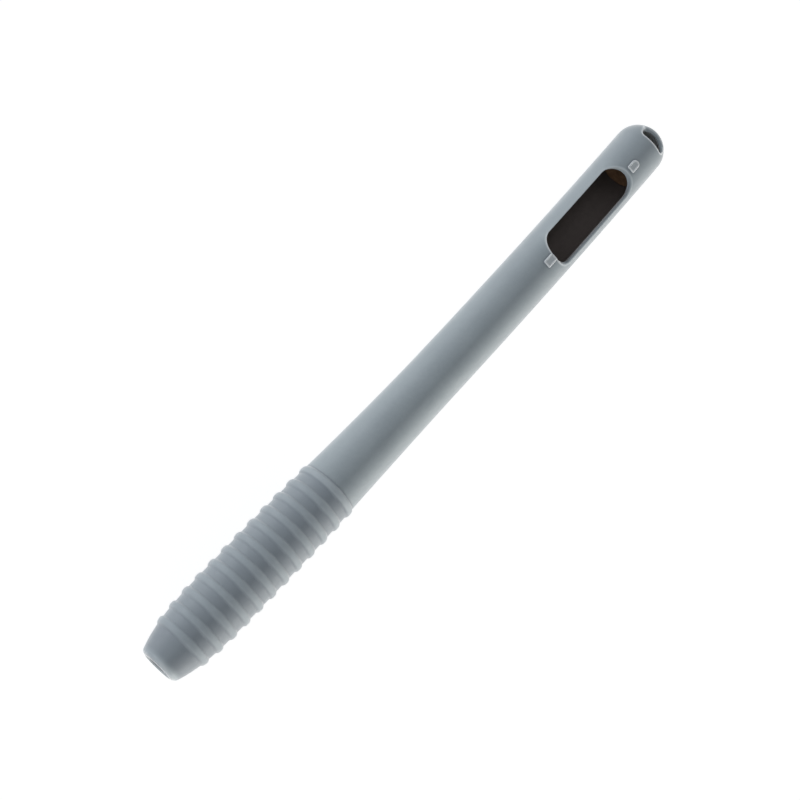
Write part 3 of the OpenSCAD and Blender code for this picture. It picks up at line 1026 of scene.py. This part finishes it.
def silicone(name, base, cloudy):
    """Matt moulded silicone: fine grain, faint cloudiness and dust.

    Wear and painted light above 0 make it paler, up to the whitish painted highlight of its edges at 2, and
    painted shade below 0 makes it darker, as in its grooves at -1 and deepest at -2."""
    nodes = Nodes(name)
    cloud = nodes.noise(CLOUD_SCALE, CLOUD_DETAIL)
    mottle = nodes.noise(MOTTLE_SCALE, FINE_DETAIL)
    grain = nodes.noise(GRAIN_SCALE)
    dust_and_light = nodes.spread(nodes.noise(DUST_SCALE, 1), *DUST_RANGE, 0, DUST_SHARE)
    wear_and_light = nodes.attribute("wear_and_light")
    # Share of paler colour from rubbing and painted light, uneven with the mottle; it also lowers the
    # roughness
    uneven = nodes.spread(mottle, *MIDDLE_RANGE, LEAST_LIGHTENING, 1)
    lightening = nodes.compute("MULTIPLY", nodes.spread(wear_and_light, 0, 1, 0, 1), uneven)
    colour = nodes.mix(nodes.spread(cloud, *CLOUD_RANGE, 0, 1), base, cloudy)
    colour = nodes.mix(nodes.spread(mottle, *MOTTLE_RANGE, 0, MOTTLE_SHARE), colour, RUBBED_AND_LIT)
    # Below 0: painted shade, as in the grooves at -1, and deepest at -2
    colour = nodes.mix(nodes.spread(wear_and_light, -1, 0, 1, 0), colour, PAINTED_SHADE)
    colour = nodes.mix(nodes.spread(wear_and_light, -2, -1, 1, 0), colour, DEEP_PAINTED_SHADE)
    # Above 0: paler with rubbing and painted light, up to the painted highlight of edges at 2
    colour = nodes.mix(lightening, colour, RUBBED_AND_LIT)
    colour = nodes.mix(nodes.spread(wear_and_light, 1, 2, 0, 1), colour, PALE_HIGHLIGHT_AND_DUST)
    colour = nodes.mix(dust_and_light, colour, PALE_HIGHLIGHT_AND_DUST)
    nodes.link(colour, nodes.shader.inputs["Base Color"])
    polish = nodes.compute("MULTIPLY", lightening, LIGHTENING_POLISH)
    rough = nodes.compute("SUBTRACT", nodes.spread(mottle, *MIDDLE_RANGE, *SILICONE_ROUGHNESS), polish)
    nodes.link(rough, nodes.shader.inputs["Roughness"])
    nodes.shader.inputs["Specular IOR Level"].default_value = SILICONE_SPECULAR
    nodes.shader.inputs["Sheen Weight"].default_value = 1
    nodes.shader.inputs["Sheen Roughness"].default_value = SHEEN_ROUGHNESS
    nodes.shader.inputs["Subsurface Weight"].default_value = SUBSURFACE_SHARE
    nodes.shader.inputs["Subsurface Radius"].default_value = (1, 1, 1)
    nodes.shader.inputs["Subsurface Scale"].default_value = SUBSURFACE_DEPTH
    nodes.bump([(grain, *GRAIN_BUMP), (mottle, *MOTTLE_BUMP)])
    return nodes.material


def liner_plastic():
    """Near-black moulded tube: satin, with faint drawn lines along it, and painted light on its edges and
    in its bore.
    """
    nodes = Nodes("liner_plastic")
    mottle = nodes.noise(LINER_MOTTLE_SCALE, FINE_DETAIL)
    lines = nodes.noise(LINER_LINE_SCALE, stretch=LINER_LINE_STRETCH)
    grain = nodes.noise(LINER_GRAIN_SCALE)
    colour = nodes.mix(nodes.spread(mottle, *MIDDLE_RANGE, 0, 1), *LINER_COLOURS)
    # Paler with painted light on the edges and in the bore
    colour = nodes.mix(nodes.spread(nodes.attribute("wear_and_light"), 0, 2, 0, 1), colour, LINER_PAINTED_LIGHT)
    nodes.link(colour, nodes.shader.inputs["Base Color"])
    nodes.link(nodes.spread(lines, *MIDDLE_RANGE, *LINER_ROUGHNESS), nodes.shader.inputs["Roughness"])
    nodes.shader.inputs["Specular IOR Level"].default_value = LINER_SPECULAR
    nodes.bump([(lines, *LINER_LINE_BUMP), (grain, *LINER_GRAIN_BUMP)])
    return nodes.material


def stop_rubber():
    """Brown moulded plug: matt and slightly grainy."""
    nodes = Nodes("stop_rubber")
    mottle = nodes.noise(STOP_MOTTLE_SCALE, FINE_DETAIL)
    grain = nodes.noise(STOP_GRAIN_SCALE, STOP_GRAIN_DETAIL)
    colour = nodes.mix(nodes.spread(mottle, *MIDDLE_RANGE, 0, 1), *STOP_COLOURS)
    nodes.link(colour, nodes.shader.inputs["Base Color"])
    nodes.link(nodes.spread(mottle, *MIDDLE_RANGE, *STOP_ROUGHNESS), nodes.shader.inputs["Roughness"])
    nodes.shader.inputs["Specular IOR Level"].default_value = STOP_SPECULAR
    nodes.bump([(grain, *STOP_GRAIN_BUMP)])
    return nodes.material


def dress(piece, body, node):
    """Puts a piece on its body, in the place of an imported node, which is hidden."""
    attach(piece, body)
    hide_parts(node)


dress(make_liner(liner_plastic()), "liner", "inner_liner")
dress(make_stop(stop_rubber()), "liner", "rear_stop")
dress(make_grip(silicone("grip_silicone", *GRIP_SHADED_COLOURS)), "grip", "grip_sleeve")
dress(make_barrel(silicone("barrel_silicone", *BARREL_COLOURS)),
      "barrel", "barrel_sleeve")


# Table, light and camera


def seen_share(tree):
    """1 for rays that show the background: from the camera, in a gloss or through glass."""
    path = tree.nodes.new("ShaderNodeLightPath")
    total = path.outputs["Is Camera Ray"]
    for name in ("Is Glossy Ray", "Is Transmission Ray"):
        node = tree.nodes.new("ShaderNodeMath")
        node.operation = "MAXIMUM"
        tree.links.new(total, node.inputs[0])
        tree.links.new(path.outputs[name], node.inputs[1])
        total = node.outputs[0]
    return total


def make_table(height):
    """A large white table. What the camera sees of it is lifted to white, and it keeps a faint shadow."""
    mesh = bpy.data.meshes.new("table")
    corners = [(x * TABLE_HALF, y * TABLE_HALF, height) for x, y in ((-1, -1), (1, -1), (1, 1), (-1, 1))]
    mesh.from_pydata(corners, [], [(0, 1, 2, 3)])
    table = bpy.data.objects.new("table", mesh)
    bpy.context.scene.collection.objects.link(table)
    material = bpy.data.materials.new("table_white")
    material.use_nodes = True
    tree = material.node_tree
    tree.nodes.clear()

    def lit_white(colour, glow):
        """A matt white with some light of its own."""
        matt = tree.nodes.new("ShaderNodeBsdfDiffuse")
        matt.inputs["Color"].default_value = (colour, colour, colour, 1)
        light = tree.nodes.new("ShaderNodeEmission")
        light.inputs["Color"].default_value = WHITE
        light.inputs["Strength"].default_value = glow
        both = tree.nodes.new("ShaderNodeAddShader")
        tree.links.new(matt.outputs[0], both.inputs[0])
        tree.links.new(light.outputs[0], both.inputs[1])
        return both.outputs[0]

    blend = tree.nodes.new("ShaderNodeMixShader")
    tree.links.new(seen_share(tree), blend.inputs[0])
    tree.links.new(lit_white(TABLE_LIT, TABLE_LIT_GLOW), blend.inputs[1])
    tree.links.new(lit_white(TABLE_SEEN, TABLE_SEEN_GLOW), blend.inputs[2])
    output = tree.nodes.new("ShaderNodeOutputMaterial")
    tree.links.new(blend.outputs[0], output.inputs["Surface"])
    mesh.materials.append(material)


def make_world():
    """White where it is seen, and a weak even light otherwise."""
    world = bpy.data.worlds.new("white_room")
    bpy.context.scene.world = world
    world.use_nodes = True
    tree = world.node_tree
    tree.nodes.clear()
    soft = tree.nodes.new("ShaderNodeBackground")
    soft.inputs["Color"].default_value = ROOM_COLOUR
    soft.inputs["Strength"].default_value = ROOM_STRENGTH
    seen = tree.nodes.new("ShaderNodeBackground")
    seen.inputs["Color"].default_value = WHITE
    seen.inputs["Strength"].default_value = 1
    blend = tree.nodes.new("ShaderNodeMixShader")
    tree.links.new(seen_share(tree), blend.inputs[0])
    tree.links.new(soft.outputs[0], blend.inputs[1])
    tree.links.new(seen.outputs[0], blend.inputs[2])
    output = tree.nodes.new("ShaderNodeOutputWorld")
    tree.links.new(blend.outputs[0], output.inputs["Surface"])


def make_softbox(name, aside, power, colour):
    """A long soft lamp beside the sleeve, on the +Y side or the other, that faces its middle."""
    data = bpy.data.lights.new(name, "AREA")
    data.shape = "RECTANGLE"
    data.size, data.size_y = LAMP_SIZE
    data.energy = power
    data.color = colour
    lamp = bpy.data.objects.new(name, data)
    bpy.context.scene.collection.objects.link(lamp)
    middle = Vector((TIP_X + SLEEVE_LENGTH / 2, 0, 0))
    from_middle = Vector((LAMP_AHEAD, aside, LAMP_HEIGHT))
    lamp.location = middle + from_middle
    lamp.rotation_mode = "QUATERNION"
    lamp.rotation_quaternion = (-from_middle).to_track_quat("-Z", "Y")
    lamp.visible_camera = False


def make_camera():
    """The camera of the photo: its place by the fit, turned so that the sleeve runs up to the right."""
    towards_eye = Vector((0, math.sin(VIEW_ROLL), math.cos(VIEW_ROLL)))
    axis = Vector((1, 0, 0))
    beside = axis.cross(towards_eye)
    aim = Vector((TIP_X + VIEW_AIM, 0, 0)) + beside * VIEW_SIDE
    back = towards_eye * math.cos(VIEW_TILT) - axis * math.sin(VIEW_TILT)
    shown_axis = (axis - back * axis.dot(back)).normalized()
    shown_up = back.cross(shown_axis)
    right = shown_axis * math.cos(IMAGE_TURN) - shown_up * math.sin(IMAGE_TURN)
    up = shown_axis * math.sin(IMAGE_TURN) + shown_up * math.cos(IMAGE_TURN)
    data = bpy.data.cameras.new("camera")
    data.sensor_width = SENSOR
    data.lens = SENSOR * FOCAL_SHARE
    data.clip_start, data.clip_end = VIEW_CLIP
    camera = bpy.data.objects.new("camera", data)
    bpy.context.scene.collection.objects.link(camera)
    turn = Matrix((right, up, back)).transposed()
    camera.matrix_world = Matrix.Translation(aim + back * VIEW_DISTANCE) @ turn.to_4x4()
    bpy.context.scene.camera = camera


make_table(-WIDEST_R - RIB_HEIGHT)
make_world()
make_softbox("left_light", LAMP_ASIDE, LEFT_POWER, LEFT_COLOUR)
make_softbox("right_light", -LAMP_ASIDE, RIGHT_POWER, RIGHT_COLOUR)
make_camera()
bpy.context.scene.view_settings.view_transform = "Standard"
